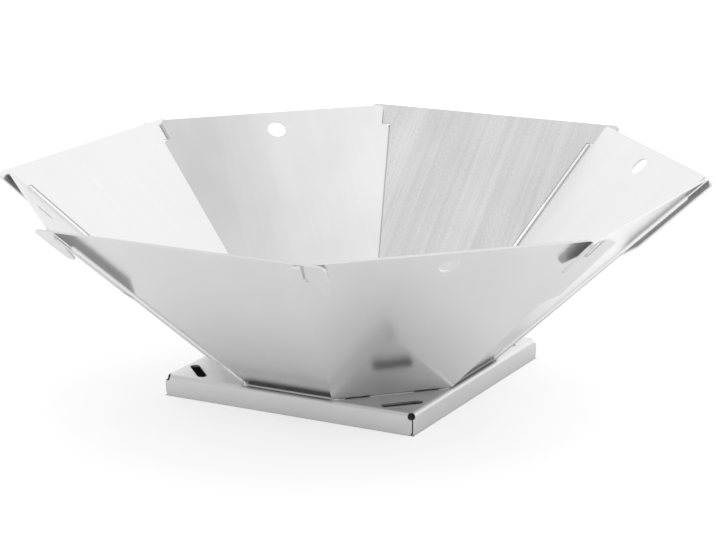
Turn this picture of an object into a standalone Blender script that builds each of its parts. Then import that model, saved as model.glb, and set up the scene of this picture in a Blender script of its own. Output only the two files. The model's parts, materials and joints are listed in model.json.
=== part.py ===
"""A flat-pack fire bowl of bare sheet steel, which holds together without fasteners.

Four corner panels stand in slots in a square base tray. Four side panels drop between them: each hangs by a
hook at both ends of its rim in a slit of the corner panel beside it, so eight flat sheets make one octagonal bowl.
Metres, +Z up. The ground is at z = 0, the bowl's axis is Z, the tray's sides lie along X and Y, and the front is -Y.
"""

from math import acos, atan2, ceil, cos, hypot, pi, radians, sin, sqrt, tan

import bmesh
import bpy
from mathutils import Matrix, Vector

# The sheet, and the clearance between pieces that touch
SHEET = 0.0015
GAP = 0.0003
EDGE_BREAK = 0.00015

# Base tray
TRAY_SIDE = 0.200
TRAY_HEIGHT = 0.0155
TRAY_BEND = 0.0028
TRAY_SEAM = 0.0009
SKIRT_CHAMFER = 0.0024
RELIEF_DIAMETER = 0.0055
VENT_LENGTH = 0.030
VENT_WIDTH = 0.007
VENT_FROM_CORNER = 0.0245

# Bowl: a regular octagon at the rim and a smaller one on the tray, measured at mid-sheet
RIM_WIDTH = 0.4676
RIM_HEIGHT = 0.1522
FOOT_SETBACK = 0.0071

# Corner panels, with lengths along the slope
SLIT_DEPTH = 0.021
EAR_REACH = 0.0125
EAR_DROP = 0.0018
EAR_LENGTH = 0.083
EAR_TAPER = 0.015
EDGE_LAP = 0.0045
TAB_WIDTH = 0.018
TAB_SPACING = 0.050
TAB_DEPTH = 0.0065
HOLE_DIAMETER = 0.0145
HOLE_FROM_RIM = 0.0165

# Side panels
HOOK_REACH = 0.0133
HOOK_DEPTH = 0.0355
EDGE_SETBACK = 0.0012
SIDE_FLOAT = 0.0012

# Roundings of the sheets' corners
EAR_ROUND = 0.004
TAPER_ROUND = 0.003
SLIT_MOUTH_ROUND = 0.003
SLIT_ROUND = 0.0015
TIP_ROUND = 0.0012

# Greys of the bare steel
TRAY_GREY = 0.56
CORNER_GREY = 0.64
SIDE_GREY = 0.62
STEEL_ROUGHNESS = 0.24

# Fineness of the modelling
ARC_STEP = radians(15)
BEND_STEPS = 6
CUT_MARGIN = 0.002
MERGE = 0.00001
CUT_EDGE_ANGLE = radians(60)
SMOOTH_ANGLE = radians(30)
LARGEST_SHARE = 0.49

SIDES = {"front": 180, "back": 0, "left": 90, "right": -90}
CORNERS = {"front_left": 135, "front_right": -135, "back_left": 45, "back_right": -45}

# Every panel lies at the same slope, and its x runs along the rim and its y up the slope from the tray's top
TRAY_HALF = TRAY_SIDE / 2
TRAY_DIAGONAL = TRAY_HALF * sqrt(2)
RIM_REACH = RIM_WIDTH / 2
FOOT_REACH = TRAY_HALF - FOOT_SETBACK
RIM_HALF = RIM_REACH * tan(pi / 8)
FOOT_HALF = FOOT_REACH * tan(pi / 8)
SLOPE = hypot(RIM_REACH - FOOT_REACH, RIM_HEIGHT - TRAY_HEIGHT)
PITCH = atan2(RIM_HEIGHT - TRAY_HEIGHT, RIM_REACH - FOOT_REACH)
LEAN = atan2(RIM_HALF - FOOT_HALF, SLOPE)

# Two neighbours cross at this angle, and a slit this wide lets the other's thickness through
TURN = acos(sin(PITCH) ** 2 / sqrt(2) + cos(PITCH) ** 2)
SIDE_ROOM = GAP / sin(TURN)
SLIT_HALF = SHEET / 2 * (1 + cos(TURN)) / sin(TURN) + SIDE_ROOM


def at(along, off):
    """The point this far along the corner line from the rim, and this far outside it."""
    x = RIM_HALF - along * sin(LEAN) + off * cos(LEAN)
    y = SLOPE - along * cos(LEAN) - off * sin(LEAN)
    return x, y


def level(y, off):
    """The point at this height up the slope, and this far outside the corner line."""
    return at((SLOPE - y - off * sin(LEAN)) / cos(LEAN), off)


def in_bowl(heading):
    """A panel's place in the bowl, with its foot facing this way: 0 is the back, 90 the left."""
    out = Matrix.Rotation(radians(heading), 4, "Z")
    foot = Matrix.Translation((0, FOOT_REACH, TRAY_HEIGHT))
    return out @ foot @ Matrix.Rotation(PITCH, 4, "X")


def throat_depth():
    """Depth of a side panel's throat, whose rounded end stops short of the rounded end of the slit."""
    rounding = SLIT_ROUND - sqrt(SLIT_ROUND**2 - (SLIT_ROUND - SIDE_ROOM) ** 2)
    return SLIT_DEPTH - 2 * (GAP + rounding)


def fillet(before, corner, after, radius):
    """Points on the arc that rounds a corner of an outline, or the corner itself."""
    back, on = (before - corner).normalized(), (after - corner).normalized()
    angle = back.angle(on)
    longest = LARGEST_SHARE * min((before - corner).length, (after - corner).length)
    tangent = min(radius / tan(angle / 2), longest)
    if tangent < MERGE:
        return [corner]
    centre = corner + (back + on).normalized() * tangent / cos(angle / 2)
    spoke = corner + back * tangent - centre
    turn = (pi - angle) * (1 if back.cross(on) < 0 else -1)
    steps = ceil(abs(turn) / ARC_STEP)
    return [centre + Matrix.Rotation(turn * i / steps, 2) @ spoke for i in range(steps + 1)]


def rounded(corners):
    """The outline through these (x, y, radius) corners."""
    points = [Vector(corner[:2]) for corner in corners]
    outline = []
    for i, (_, _, radius) in enumerate(corners):
        outline += fillet(points[i - 1], points[i], points[(i + 1) % len(points)], radius)
    return outline


def mirrored(right_half):
    """A whole outline from the corners of its right half, listed from the top down."""
    return right_half + [(-x, y, radius) for x, y, radius in reversed(right_half)]


def circle(x, y, diameter):
    steps = ceil(2 * pi / ARC_STEP)
    angles = [2 * pi * i / steps for i in range(steps)]
    return [Vector((x + diameter / 2 * cos(a), y + diameter / 2 * sin(a))) for a in angles]


def rectangle(width, height, radius=0):
    """The outline of a rectangle about the origin."""
    x, y = width / 2, height / 2
    return rounded([(x, y, radius), (x, -y, radius), (-x, -y, radius), (-x, y, radius)])


def flat_plate(name, outlines, thickness, place, collection):
    """A plate as a filled curve: closed outlines in its own x and y, with its mid-plane on them."""
    curve = bpy.data.curves.new(name, "CURVE")
    curve.dimensions = "2D"
    curve.fill_mode = "BOTH"
    curve.extrude = thickness / 2
    for outline in outlines:
        spline = curve.splines.new("POLY")
        spline.points.add(len(outline) - 1)
        for point, (x, y) in zip(spline.points, outline):
            point.co = (x, y, 0, 1)
        spline.use_cyclic_u = True
    plate = bpy.data.objects.new(name, curve)
    collection.objects.link(plate)
    plate.matrix_world = place
    return plate


def steel(name, grey):
    """Bare stainless sheet, of this grey."""
    material = bpy.data.materials.new(name)
    material.use_nodes = True
    shader = material.node_tree.nodes["Principled BSDF"]
    shader.inputs["Base Color"].default_value = (grey, grey, grey, 1)
    shader.inputs["Metallic"].default_value = 1
    shader.inputs["Roughness"].default_value = STEEL_ROUGHNESS
    return material


def break_edges(plate):
    """Takes the sharpness off a plate's cut edges."""
    weld = plate.modifiers.new("weld", "WELD")
    weld.merge_threshold = MERGE
    bevel = plate.modifiers.new("edge_break", "BEVEL")
    bevel.width = EDGE_BREAK
    bevel.segments = 1
    bevel.limit_method = "ANGLE"
    bevel.angle_limit = CUT_EDGE_ANGLE


def side_outline():
    """A side panel: the bowl's wall, with a hook beyond each corner line.

    A hook's inner edge runs straight down the slope, so that the panel slides off upwards past the slits' ends.
    Below the hooks the wall stands back from its neighbours and leaves a narrow opening beside each of them.
    """
    throat = throat_depth()
    hook_foot = SLOPE - HOOK_DEPTH
    hook_inner = at(throat, SLIT_HALF)
    panel_foot = SIDE_FLOAT / sin(PITCH)
    edge = -SLIT_HALF - EDGE_SETBACK
    return rounded(mirrored([
        (*level(SLOPE, HOOK_REACH), EAR_ROUND),
        (*level(hook_foot, HOOK_REACH), EAR_ROUND),
        (hook_inner[0], hook_foot, TIP_ROUND),
        (*hook_inner, SLIT_ROUND),
        (*at(throat, edge), SLIT_ROUND),
        (*level(panel_foot, edge), TIP_ROUND),
    ]))


def tab_corners(foot, tip):
    """The corners of a corner panel's right tab, from its outer side to its inner side."""
    outer = (TAB_SPACING + TAB_WIDTH) / 2
    inner = (TAB_SPACING - TAB_WIDTH) / 2
    return [(outer, foot, 0), (outer, tip, TIP_ROUND), (inner, tip, TIP_ROUND), (inner, foot, 0)]


def corner_outline():
    """A corner panel: the wall, a slit at each corner line, an ear outside each, and tabs at the foot."""
    foot = (GAP + SHEET / 2 * cos(PITCH)) / sin(PITCH)
    tip = -TAB_DEPTH / sin(PITCH)
    ear_top = SLOPE - EAR_DROP
    return rounded(mirrored([
        (*level(SLOPE, -SLIT_HALF), SLIT_MOUTH_ROUND),
        (*at(SLIT_DEPTH, -SLIT_HALF), SLIT_ROUND),
        (*at(SLIT_DEPTH, SLIT_HALF), SLIT_ROUND),
        (*level(ear_top, SLIT_HALF), SLIT_ROUND),
        (*level(ear_top, EAR_REACH), EAR_ROUND),
        (*at(EAR_LENGTH - EAR_TAPER, EAR_REACH), TAPER_ROUND),
        (*at(EAR_LENGTH, EDGE_LAP), TAPER_ROUND),
        (*level(foot, EDGE_LAP), TIP_ROUND),
        *tab_corners(foot, tip),
    ]))


def make_panels(kind, headings, outlines, grey, collection):
    for where, heading in headings.items():
        name = f"{kind}_{where}"
        panel = flat_plate(name, outlines, SHEET, in_bowl(heading), collection)
        panel.data.materials.append(steel(name, grey))
        break_edges(panel)


def as_cutter(plate, cutters):
    """The plate as a closed mesh in its place, fit for a Boolean."""
    bpy.context.view_layer.update()
    graph = bpy.context.evaluated_depsgraph_get()
    mesh = bpy.data.meshes.new_from_object(plate.evaluated_get(graph))
    solid = bmesh.new()
    solid.from_mesh(mesh)
    bmesh.ops.remove_doubles(solid, verts=solid.verts, dist=MERGE)
    bmesh.ops.recalc_face_normals(solid, faces=solid.faces)
    solid.to_mesh(mesh)
    solid.free()
    cutter = bpy.data.objects.new(plate.name + "_cutter", mesh)
    cutter.matrix_world = plate.matrix_world
    cutter.hide_render = True
    cutter.display_type = "WIRE"
    cutters.objects.link(cutter)
    bpy.data.objects.remove(plate)


def cut_through(name, outline, thickness, place, cutters):
    """A cutter in the shape of a flat plate."""
    as_cutter(flat_plate(name, [outline], thickness, place, cutters), cutters)


def make_tray_cutters(cutters):
    """Everything cut out of the tray: at each corner its relief, seam, chamfers and vent, and the tabs' slots."""
    for where, heading in CORNERS.items():
        diagonal = Matrix.Rotation(radians(heading), 4, "Z")
        to_corner = diagonal @ Matrix.Translation((0, TRAY_DIAGONAL, 0))
        cut_relief(where, to_corner, cutters)
        cut_seam(where, to_corner, cutters)
        cut_chamfers(where, to_corner, cutters)
        cut_vent(where, to_corner, cutters)
        cut_tab_slots(where, diagonal, cutters)


def cut_relief(where, to_corner, cutters):
    """A round hole where the two bends meet, square to the corner's own diagonal."""
    bend = Matrix.Translation((0, -TRAY_BEND / 2, TRAY_HEIGHT - TRAY_BEND / 2))
    facing = Matrix.Rotation(-atan2(sqrt(2), 1), 4, "X")
    length = 2 * (TRAY_BEND + SHEET + CUT_MARGIN)
    cut_through(f"relief_{where}", circle(0, 0, RELIEF_DIAMETER), length, to_corner @ bend @ facing, cutters)


def cut_seam(where, to_corner, cutters):
    """The open joint between two skirts, from the ground up to the relief hole."""
    height = TRAY_HEIGHT - TRAY_BEND / 2 + CUT_MARGIN
    middle = Matrix.Translation((0, 0, height / 2 - CUT_MARGIN))
    outline = rectangle(TRAY_SEAM, 2 * (SHEET * sqrt(2) + CUT_MARGIN))
    cut_through(f"seam_{where}", outline, height, to_corner @ middle, cutters)


def cut_chamfers(where, to_corner, cutters):
    """The slanted lower corners of the two skirts that meet here."""
    side = SKIRT_CHAMFER * sqrt(2)
    depth = SHEET + CUT_MARGIN
    for hand in (-1, 1):
        skirt = Matrix.Rotation(hand * pi / 4, 4, "Z") @ Matrix.Translation((0, CUT_MARGIN - depth / 2, 0))
        facing = Matrix.Rotation(pi / 2, 4, "X") @ Matrix.Rotation(pi / 4, 4, "Z")
        cut_through(f"chamfer_{where}_{hand}", rectangle(side, side), depth, to_corner @ skirt @ facing, cutters)


def cut_vent(where, to_corner, cutters):
    """A round-ended air slot across the tray's corner."""
    middle = Matrix.Translation((0, -VENT_FROM_CORNER, TRAY_HEIGHT))
    outline = rectangle(VENT_LENGTH, VENT_WIDTH, VENT_WIDTH / 2)
    cut_through(f"vent_{where}", outline, 2 * (SHEET + CUT_MARGIN), to_corner @ middle, cutters)


def cut_tab_slots(where, diagonal, cutters):
    """Two slots, wide enough for a tab that passes through the tray's top at the panel's slope."""
    room = (SHEET / 2 + GAP) / sin(PITCH)
    outer = FOOT_REACH + room
    inner = FOOT_REACH - room - SHEET / tan(PITCH)
    outline = rectangle(TAB_WIDTH + 2 * GAP, outer - inner)
    for hand in (-1, 1):
        place = diagonal @ Matrix.Translation((hand * TAB_SPACING / 2, (outer + inner) / 2, TRAY_HEIGHT))
        cut_through(f"tab_slot_{where}_{hand}", outline, 2 * (SHEET + CUT_MARGIN), place, cutters)


def tray_skin():
    """The tray's outer surface: four skirts and a top, with the bends between them."""
    skin = bmesh.new()
    bmesh.ops.create_cube(skin, size=1)
    bmesh.ops.scale(skin, vec=(TRAY_SIDE, TRAY_SIDE, TRAY_HEIGHT), verts=skin.verts)
    bmesh.ops.translate(skin, vec=(0, 0, TRAY_HEIGHT / 2), verts=skin.verts)
    underside = [face for face in skin.faces if all(v.co.z < TRAY_HEIGHT / 2 for v in face.verts)]
    bmesh.ops.delete(skin, geom=underside, context="FACES")
    top_edges = [edge for edge in skin.edges if all(v.co.z > TRAY_HEIGHT / 2 for v in edge.verts)]
    bmesh.ops.bevel(skin, geom=top_edges, offset=TRAY_BEND, segments=BEND_STEPS, profile=0.5, affect="EDGES")
    return skin


def make_tray(collection, cutters):
    skin = tray_skin()
    mesh = bpy.data.meshes.new("base_tray")
    skin.to_mesh(mesh)
    skin.free()
    mesh.materials.append(steel("base_tray", TRAY_GREY))
    tray = bpy.data.objects.new("base_tray", mesh)
    collection.objects.link(tray)
    wall = tray.modifiers.new("wall", "SOLIDIFY")
    wall.thickness = SHEET
    wall.offset = -1
    wall.use_even_offset = True
    make_tray_cutters(cutters)
    cuts = tray.modifiers.new("cuts", "BOOLEAN")
    cuts.operation = "DIFFERENCE"
    cuts.operand_type = "COLLECTION"
    cuts.collection = cutters
    mesh.shade_smooth()
    mesh.set_sharp_from_angle(angle=SMOOTH_ANGLE)


def clear_scene():
    for existing in list(bpy.data.objects):
        bpy.data.objects.remove(existing)


def new_collection(name):
    collection = bpy.data.collections.new(name)
    bpy.context.scene.collection.children.link(collection)
    return collection


def main():
    clear_scene()
    bowl = new_collection("fire_bowl")
    cutters = new_collection("cutters")
    make_tray(bowl, cutters)
    hole = circle(0, SLOPE - HOLE_FROM_RIM, HOLE_DIAMETER)
    make_panels("corner_panel", CORNERS, [corner_outline(), hole], CORNER_GREY, bowl)
    make_panels("side_panel", SIDES, [side_outline()], SIDE_GREY, bowl)


main()
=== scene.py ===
"""Dresses the fire bowl: bare stainless sheet, a white studio and the photograph's camera.

Metres, +Z up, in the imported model's frame. The CAD's own meshes are shown, and no piece is added to them.
"""

import json
from math import atan2, cos, radians, sin, sqrt

import bpy
from mathutils import Matrix, Vector


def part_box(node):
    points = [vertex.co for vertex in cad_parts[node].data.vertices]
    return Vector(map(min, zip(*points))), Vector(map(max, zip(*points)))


# Camera: it looks at a point near the bowl's axis, from this direction and distance
IMAGE_WIDTH = 716
CAMERA_AZIMUTH = radians(29.081)
CAMERA_ELEVATION = radians(15.220)
CAMERA_ROLL = radians(-0.770)
CAMERA_DISTANCE = 1.7060
AIM_RIGHT = 0.00318
AIM_UP = 0.07759
FOCAL_PIXELS = 2323.7
SENSOR_WIDTH = 36.0

# Which way each panel's foot faces, in degrees: 0 is the back, 90 the left
HEADINGS = {
    "side_panel_front": 180, "side_panel_back": 0, "side_panel_left": 90, "side_panel_right": -90,
    "corner_panel_front_left": 135, "corner_panel_front_right": -135,
    "corner_panel_back_left": 45, "corner_panel_back_right": -45,
}

# Steel: how much it reflects and how rough it is
PANEL_GREY = 0.80
PANEL_ROUGH = 0.22
TRAY_GREY = 0.79
TRAY_ROUGH = 0.38
BLUE_TINT = 1.004
ROUGH_SPREAD = 0.05

# The panels' cut edges: their grey, their added roughness and how much less metallic they are
EDGE_GREY = 0.90
EDGE_ROUGH = 0.2
EDGE_DULL = 0.5

# The grain's noises: waves per metre across and along the grain, then detail and roughness
BROAD_NOISE = ((32, 1.2, 0), 2.0, 0.5)
FINE_NOISE = ((190, 3.0, 0), 4.0, 0.6)
CLOUD_NOISE = ((22, 14, 0), 2.0, 0.5)
SPECK_NOISE = ((620, 380, 0), 1.0, 0.5)
SPECK_SHARE = 0.3
SPECK_HEIGHT = 0.000001

# How strongly each sheet's streaks and patches show, as changes of grey
PLAIN_GRAIN = (0.011, 0.007)
TRAY_GRAIN = (0.003, 0.008)
GRAIN = {"side_panel_back": (0.085, 0.035), "corner_panel_back_left": (0.012, 0.03)}

# How much a sheet bows across and along its grain, in radians per metre
BOW = {"corner_panel_back_left": (-1.2, 0)}

# Shifts of the noises, so that no two sheets look alike
SEED_STEP = 0.043
TRAY_SEED = 0.45

# Where the panels' feet stand on the tray: from the axis, half along the tray's side, and in height
FOOT_REACH = 0.0929
FOOT_HALF = 0.0385
TRAY_TOP = 0.0155

# The joints between panels in a panel's own frame: how they slant, their start, and the rim's place up the slope
JOINT_SLANT = 0.2962
JOINT_OFFSET = 0.0157
RIM_UP_SLOPE = 0.2738

# Painted shade: what is left of the steel's grey where sheets stand close together, darkened in the colour where
# their shade falls
PAINTED_LINE_GREY = 0.2
PAINTED_STRIP_GREY = 0.5
PAINTED_FOOT_GREY = 0.45
FOOT_SHADE = (0.001, 0.013)
PAINTED_HOOK_GREY = 0.58
HOOK_TIP_SHARE = 0.3

# Floor, whose glow in the steel carries a painted shadow near the tray
FLOOR_HALF = 12.0
FLOOR_GREY = 0.7
FLOOR_CAMERA = 0.52
FLOOR_GLOSS_FAR = 0.38
FLOOR_GLOSS_NEAR = 0.21
FLOOR_PAINTED_SHADOW_FADE = 0.05
TRAY_MASK_SOFT = 0.001

# World: strengths in front of the bowl and behind it, between these directions along Y
WORLD_FRONT = 0.77
WORLD_LOW = 0.5
WORLD_LOW_Y = -0.9
WORLD_FRONT_Y = -0.3
WORLD_TILT = 0.12
WORLD_BACK = 1.03
WORLD_RISE = 0.12
WORLD_STEP = 0.05

# Lamp
LAMP_PLACE = (0, 0.6, 2.2)
LAMP_SIZE = 1.6
LAMP_POWER = 8

GLOSSY_BOUNCES = 12


class Nodes:
    """A small helper that adds nodes to a tree and links them."""

    def __init__(self, tree):
        self.tree = tree

    def add(self, kind, settings=None, **inputs):
        node = self.tree.nodes.new("ShaderNode" + kind)
        for name, value in (settings or {}).items():
            setattr(node, name, value)
        for name, value in inputs.items():
            self.put(node, name, value)
        return node

    def put(self, node, name, value):
        """Links a socket to the input called name, or to input number name, or else sets the input's value."""
        socket = node.inputs[name]
        if isinstance(value, bpy.types.NodeSocket):
            self.tree.links.new(value, socket)
        else:
            socket.default_value = value

    def math(self, operation, a, b=0.0):
        node = self.add("Math", {"operation": operation})
        self.put(node, 0, a)
        self.put(node, 1, b)
        return node.outputs[0]

    def plus(self, a, b):
        return self.math("ADD", a, b)

    def times(self, a, b):
        return self.math("MULTIPLY", a, b)

    def larger(self, a, b):
        return self.math("MAXIMUM", a, b)

    def smaller(self, a, b):
        return self.math("MINIMUM", a, b)

    def vector(self, operation, a, b=(0, 0, 0)):
        node = self.add("VectorMath", {"operation": operation})
        self.put(node, 0, a)
        self.put(node, 1, b)
        return node.outputs["Value"] if operation in ("DOT_PRODUCT", "LENGTH") else node.outputs[0]

    def remap(self, value, low, high, to_low, to_high):
        """Takes low..high to to_low..to_high, and keeps what is outside at the ends."""
        node = self.add("MapRange", {"clamp": True}, Value=value)
        for name, number in (("From Min", low), ("From Max", high), ("To Min", to_low), ("To Max", to_high)):
            self.put(node, name, number)
        return node.outputs["Result"]

    def noise(self, vector, kind):
        scale, detail, roughness = kind
        stretched = self.add("Mapping", Vector=vector, Scale=scale).outputs[0]
        return self.add("TexNoise", Vector=stretched, Scale=1.0, Detail=detail, Roughness=roughness).outputs[0]


def panel_turn(heading, pitch):
    return Matrix.Rotation(radians(heading), 3, "Z") @ Matrix.Rotation(pitch, 3, "X")


def steel(name, turn, grey, roughness, grain, seed, bow=(0, 0), is_panel=False, painted_shade=None):
    """Bare stainless sheet, whose own frame has the grain along y; turn takes that frame to the bowl's.

    A panel also gets lighter cut edges. contact gives the painted shade, a darkening of the colour where other
    sheets stand close.
    """
    material = bpy.data.materials.new(name)
    material.use_nodes = True
    tree = material.node_tree
    n = Nodes(tree)
    shader = tree.nodes["Principled BSDF"]
    place = n.add("TexCoord").outputs["Object"]
    own = n.add("Mapping", {"vector_type": "POINT"}, Vector=place, Rotation=turn.transposed().to_euler()).outputs[0]
    local = n.vector("ADD", own, (seed, seed, 0))
    bands = n.times(n.plus(n.noise(local, BROAD_NOISE), n.noise(local, FINE_NOISE)), 0.5)
    cloud = n.noise(local, CLOUD_NOISE)
    speck = n.noise(local, SPECK_NOISE)

    streak, patch = grain
    shade = n.plus(n.remap(bands, 0.35, 0.65, -streak, streak), n.remap(cloud, 0.3, 0.7, -patch, patch))
    shade = n.plus(shade, n.remap(speck, 0.3, 0.7, -streak * SPECK_SHARE, streak * SPECK_SHARE))
    level = n.plus(shade, grey)
    rough = n.remap(cloud, 0.3, 0.7, roughness * (1 - ROUGH_SPREAD), roughness * (1 + ROUGH_SPREAD))

    # 1 on a panel's inner face, -1 on its outer face and 0 on a cut edge
    facing = None
    if is_panel:
        normal = n.add("NewGeometry").outputs["True Normal"]
        facing = n.vector("DOT_PRODUCT", normal, tuple(turn @ Vector((0, 0, 1))))
        cut = n.remap(n.math("ABSOLUTE", facing), 0.2, 0.8, 1.0, 0.0)
        level = n.plus(n.times(level, n.math("SUBTRACT", 1.0, cut)), n.times(cut, EDGE_GREY))
        rough = n.plus(rough, n.times(cut, EDGE_ROUGH))
        n.put(shader, "Metallic", n.math("SUBTRACT", 1.0, n.times(cut, EDGE_DULL)))
    else:
        shader.inputs["Metallic"].default_value = 1.0
    # Painted shade: the colour is darkened where other sheets stand close
    if painted_shade:
        level = n.times(level, painted_shade(n, place, own, facing))
    colour = n.add("CombineColor", Red=level, Green=level, Blue=n.times(level, BLUE_TINT))
    n.put(shader, "Base Color", colour.outputs[0])
    n.put(shader, "Roughness", rough)

    height = n.times(speck, SPECK_HEIGHT)
    if any(bow):
        square = n.vector("MULTIPLY", own, own)
        height = n.plus(height, n.vector("DOT_PRODUCT", square, (bow[0] / 2, bow[1] / 2, 0)))
    bump = n.add("Bump", Height=height, Strength=1.0, Distance=1.0)
    n.put(shader, "Normal", bump.outputs[0])
    return material


def tray_painted_shade(n, place, own, facing):
    """Painted shade on the tray: 1 on bare steel, and lower along the lines where the panels stand on the tray's
    top.
    """
    x, y, _ = (n.math("ABSOLUTE", socket) for socket in n.add("SeparateXYZ", Vector=place).outputs)
    far, near = n.larger(x, y), n.smaller(x, y)

    # Along the side panels' feet: a dark band of painted shade, and a lighter strip of painted shade outside it
    inner = n.remap(far, FOOT_REACH - 0.005, FOOT_REACH - 0.003, 0, 1)
    ends = n.remap(near, FOOT_HALF - 0.004, FOOT_HALF + 0.001, 1, 0)
    within = n.times(inner, ends)
    side = n.times(within, n.remap(far, FOOT_REACH + 0.0008, FOOT_REACH + 0.0035, 1, 0))
    strip = n.times(within, n.remap(far, FOOT_REACH + 0.0045, FOOT_REACH + 0.0068, 1, 0))

    # Along the corner panels' feet: a thin dark line of painted shade
    slant = n.times(n.plus(x, y), sqrt(0.5))
    inner = n.remap(slant, FOOT_REACH - 0.0012, FOOT_REACH - 0.0004, 0, 1)
    outer = n.remap(slant, FOOT_REACH + 0.0014, FOOT_REACH + 0.002, 1, 0)
    ends = n.remap(near, FOOT_HALF - 0.001, FOOT_HALF + 0.001, 0, 1)
    corner = n.times(n.times(inner, outer), ends)

    dark = n.remap(n.larger(side, corner), 0, 1, 1, PAINTED_LINE_GREY)
    return n.smaller(dark, n.remap(strip, 0, 1, 1, PAINTED_STRIP_GREY))


def side_painted_shade(n, place, own, facing):
    """Painted shade on a side panel: 1 on bare steel, and lower on its outer face above the tray and on its hooks'
    inner faces.
    """
    outer = n.larger(foot_shade(n, place), n.remap(facing, -0.1, 0.1, 0, 1))
    inner = n.larger(hook_shade(n, own), n.remap(facing, 0.3, 0.7, 1, 0))
    return n.smaller(outer, inner)


def foot_shade(n, place):
    """Painted shade: 1 on bare steel, and lower close above the tray, where the foot stands in shade."""
    height = n.math("SUBTRACT", n.add("SeparateXYZ", Vector=place).outputs["Z"], TRAY_TOP)
    return n.remap(height, *FOOT_SHADE, PAINTED_FOOT_GREY, 1)


def hook_shade(n, own):
    """Painted shade: 1 on bare steel, and lower on a hook: most beside the neighbour's slit, and less towards the
    hook's tip.
    """
    x, y, _ = n.add("SeparateXYZ", Vector=own).outputs
    joint = n.plus(n.times(y, JOINT_SLANT), JOINT_OFFSET)
    past = n.math("SUBTRACT", n.math("ABSOLUTE", x), joint)
    beyond = n.times(n.remap(past, 0.0025, 0.0055, 0, 1), n.remap(past, 0.006, 0.0135, 1, HOOK_TIP_SHARE))
    below = n.remap(y, RIM_UP_SLOPE - 0.007, RIM_UP_SLOPE - 0.003, 1, 0)
    return n.remap(n.times(beyond, below), 0, 1, 1, PAINTED_HOOK_GREY)


def paint(node, material):
    for slot in node.material_slots:
        slot.material = material


def dress(frame):
    """Gives each node its steel. The panels' pitch comes from a joint, which slides up its panel's slope."""
    axis = Vector(frame["joints"][0]["axis"])
    pitch = atan2(axis.z, sqrt(axis.x ** 2 + axis.y ** 2))
    for i, (name, heading) in enumerate(HEADINGS.items()):
        # Side panels get painted shade at their feet and on their hooks
        painted_shade = side_painted_shade if name.startswith("side_panel") else None
        material = steel(
            name, panel_turn(heading, pitch), PANEL_GREY, PANEL_ROUGH, GRAIN.get(name, PLAIN_GRAIN), SEED_STEP * i,
            BOW.get(name, (0, 0)), is_panel=True, painted_shade=painted_shade,
        )
        paint(frame["nodes"][name], material)
    # The tray's colour carries painted shade along the panels' feet
    tray = steel("base_tray", Matrix.Identity(3), TRAY_GREY, TRAY_ROUGH, TRAY_GRAIN, TRAY_SEED, painted_shade=tray_painted_shade)
    paint(frame["nodes"]["base_tray"], tray)


def make_floor():
    """A plain pale floor: white to the camera, greyer in the steel, darker near the tray through a painted shadow in
    its glow, and dark under it.
    """
    half = FLOOR_HALF
    mesh = bpy.data.meshes.new("floor")
    mesh.from_pydata([(-half, -half, 0), (half, -half, 0), (half, half, 0), (-half, half, 0)], [], [(0, 1, 2, 3)])
    floor = bpy.data.objects.new("floor", mesh)
    bpy.context.scene.collection.objects.link(floor)
    material = bpy.data.materials.new("floor")
    material.use_nodes = True
    tree = material.node_tree
    tree.nodes.clear()
    n = Nodes(tree)
    tray_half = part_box("base_tray")[1][0]
    place = n.vector("ABSOLUTE", n.add("TexCoord").outputs["Object"])
    beyond = n.vector("SUBTRACT", place, (tray_half, tray_half, 0))
    clear = n.vector("LENGTH", n.vector("MAXIMUM", beyond, (0, 0, 0)))
    open_floor = n.remap(clear, 0, TRAY_MASK_SOFT, 0, 1)
    path = n.add("LightPath").outputs
    glossy = n.larger(path["Is Glossy Ray"], path["Is Transmission Ray"])
    # Painted shadow: the glow that the steel mirrors fades towards the tray's edge
    mirrored = n.times(glossy, n.remap(clear, 0, FLOOR_PAINTED_SHADOW_FADE, FLOOR_GLOSS_NEAR, FLOOR_GLOSS_FAR))
    seen = n.plus(n.times(path["Is Camera Ray"], FLOOR_CAMERA), mirrored)
    diffuse = n.add("BsdfDiffuse", Color=(FLOOR_GREY, FLOOR_GREY, FLOOR_GREY, 1))
    glow = n.add("Emission", Color=(1, 1, 1, 1), Strength=n.times(seen, open_floor))
    both = n.add("AddShader")
    n.put(both, 0, diffuse.outputs[0])
    n.put(both, 1, glow.outputs[0])
    n.add("OutputMaterial", Surface=both.outputs[0])
    mesh.materials.append(material)


def make_world():
    """A plain soft studio: white to the camera, and for light a little dimmer in front of the bowl than behind."""
    world = bpy.data.worlds.new("studio")
    bpy.context.scene.world = world
    world.use_nodes = True
    tree = world.node_tree
    tree.nodes.clear()
    n = Nodes(tree)
    direction = n.vector("NORMALIZE", n.add("TexCoord").outputs["Generated"])
    sides, back, _ = n.add("SeparateXYZ", Vector=direction).outputs
    front = n.remap(back, WORLD_LOW_Y, WORLD_FRONT_Y, WORLD_LOW, WORLD_FRONT)
    front = n.plus(front, n.times(sides, -WORLD_TILT))
    behind = n.plus(n.times(back, WORLD_RISE), WORLD_BACK)
    step = n.remap(back, -WORLD_STEP, WORLD_STEP, 0, 1)
    strength = n.plus(n.times(behind, step), n.times(front, n.math("SUBTRACT", 1, step)))
    lit = n.add("Background", Color=(1, 1, 1, 1), Strength=strength)
    seen = n.add("Background", Color=(1, 1, 1, 1), Strength=1.0)
    mix = n.add("MixShader", Fac=n.add("LightPath").outputs["Is Camera Ray"])
    n.put(mix, 1, lit.outputs[0])
    n.put(mix, 2, seen.outputs[0])
    n.add("OutputWorld", Surface=mix.outputs[0])


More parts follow.
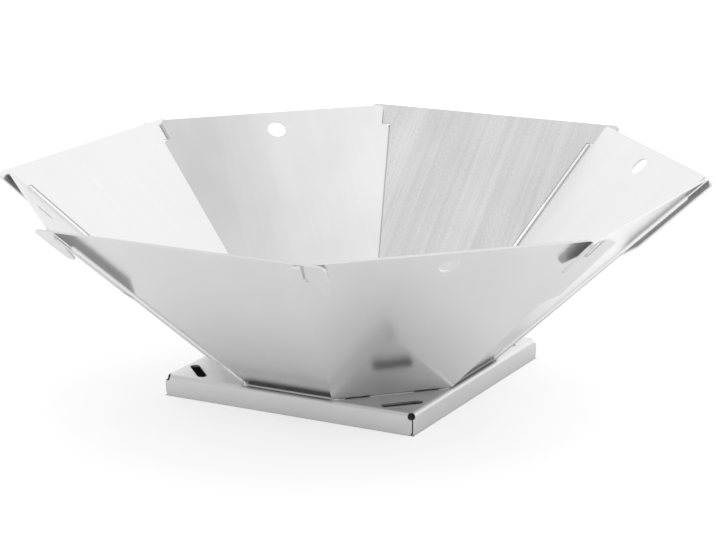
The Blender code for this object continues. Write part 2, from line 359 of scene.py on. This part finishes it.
def make_lamp():
    """A soft square lamp overhead, facing the bowl, that the steel doesn't mirror."""
    data = bpy.data.lights.new("overhead", "AREA")
    data.shape = "RECTANGLE"
    data.size = data.size_y = LAMP_SIZE
    data.energy = LAMP_POWER
    lamp = bpy.data.objects.new("overhead", data)
    lamp.location = LAMP_PLACE
    lamp.rotation_euler = (-Vector(LAMP_PLACE)).to_track_quat("-Z", "Y").to_euler()
    lamp.visible_glossy = False
    bpy.context.scene.collection.objects.link(lamp)


def make_camera():
    data = bpy.data.cameras.new("camera")
    camera = bpy.data.objects.new("camera", data)
    bpy.context.scene.collection.objects.link(camera)
    level_ahead = Vector((-sin(CAMERA_AZIMUTH), cos(CAMERA_AZIMUTH), 0))
    ahead = level_ahead * cos(CAMERA_ELEVATION) - Vector((0, 0, sin(CAMERA_ELEVATION)))
    right = Vector((cos(CAMERA_AZIMUTH), sin(CAMERA_AZIMUTH), 0))
    up = right.cross(ahead)
    camera.location = right * AIM_RIGHT + up * AIM_UP - ahead * CAMERA_DISTANCE
    level = Matrix((right, up, -ahead)).transposed()
    camera.rotation_euler = (level @ Matrix.Rotation(CAMERA_ROLL, 3, "Z")).to_euler()
    data.sensor_width = SENSOR_WIDTH
    data.lens = FOCAL_PIXELS / IMAGE_WIDTH * SENSOR_WIDTH
    bpy.context.scene.camera = camera


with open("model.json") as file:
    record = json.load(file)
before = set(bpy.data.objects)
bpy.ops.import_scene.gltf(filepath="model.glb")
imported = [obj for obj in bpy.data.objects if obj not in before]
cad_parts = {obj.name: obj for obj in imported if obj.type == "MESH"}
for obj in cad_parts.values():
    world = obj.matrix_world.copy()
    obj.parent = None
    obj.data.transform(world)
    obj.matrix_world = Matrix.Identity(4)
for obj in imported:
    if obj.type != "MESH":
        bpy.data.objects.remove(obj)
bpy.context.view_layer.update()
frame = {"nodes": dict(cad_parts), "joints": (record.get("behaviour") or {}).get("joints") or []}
make_camera()
make_world()
make_floor()
make_lamp()
dress(frame)
bpy.context.scene.view_settings.view_transform = "Standard"
bpy.context.scene.cycles.glossy_bounces = GLOSSY_BOUNCES
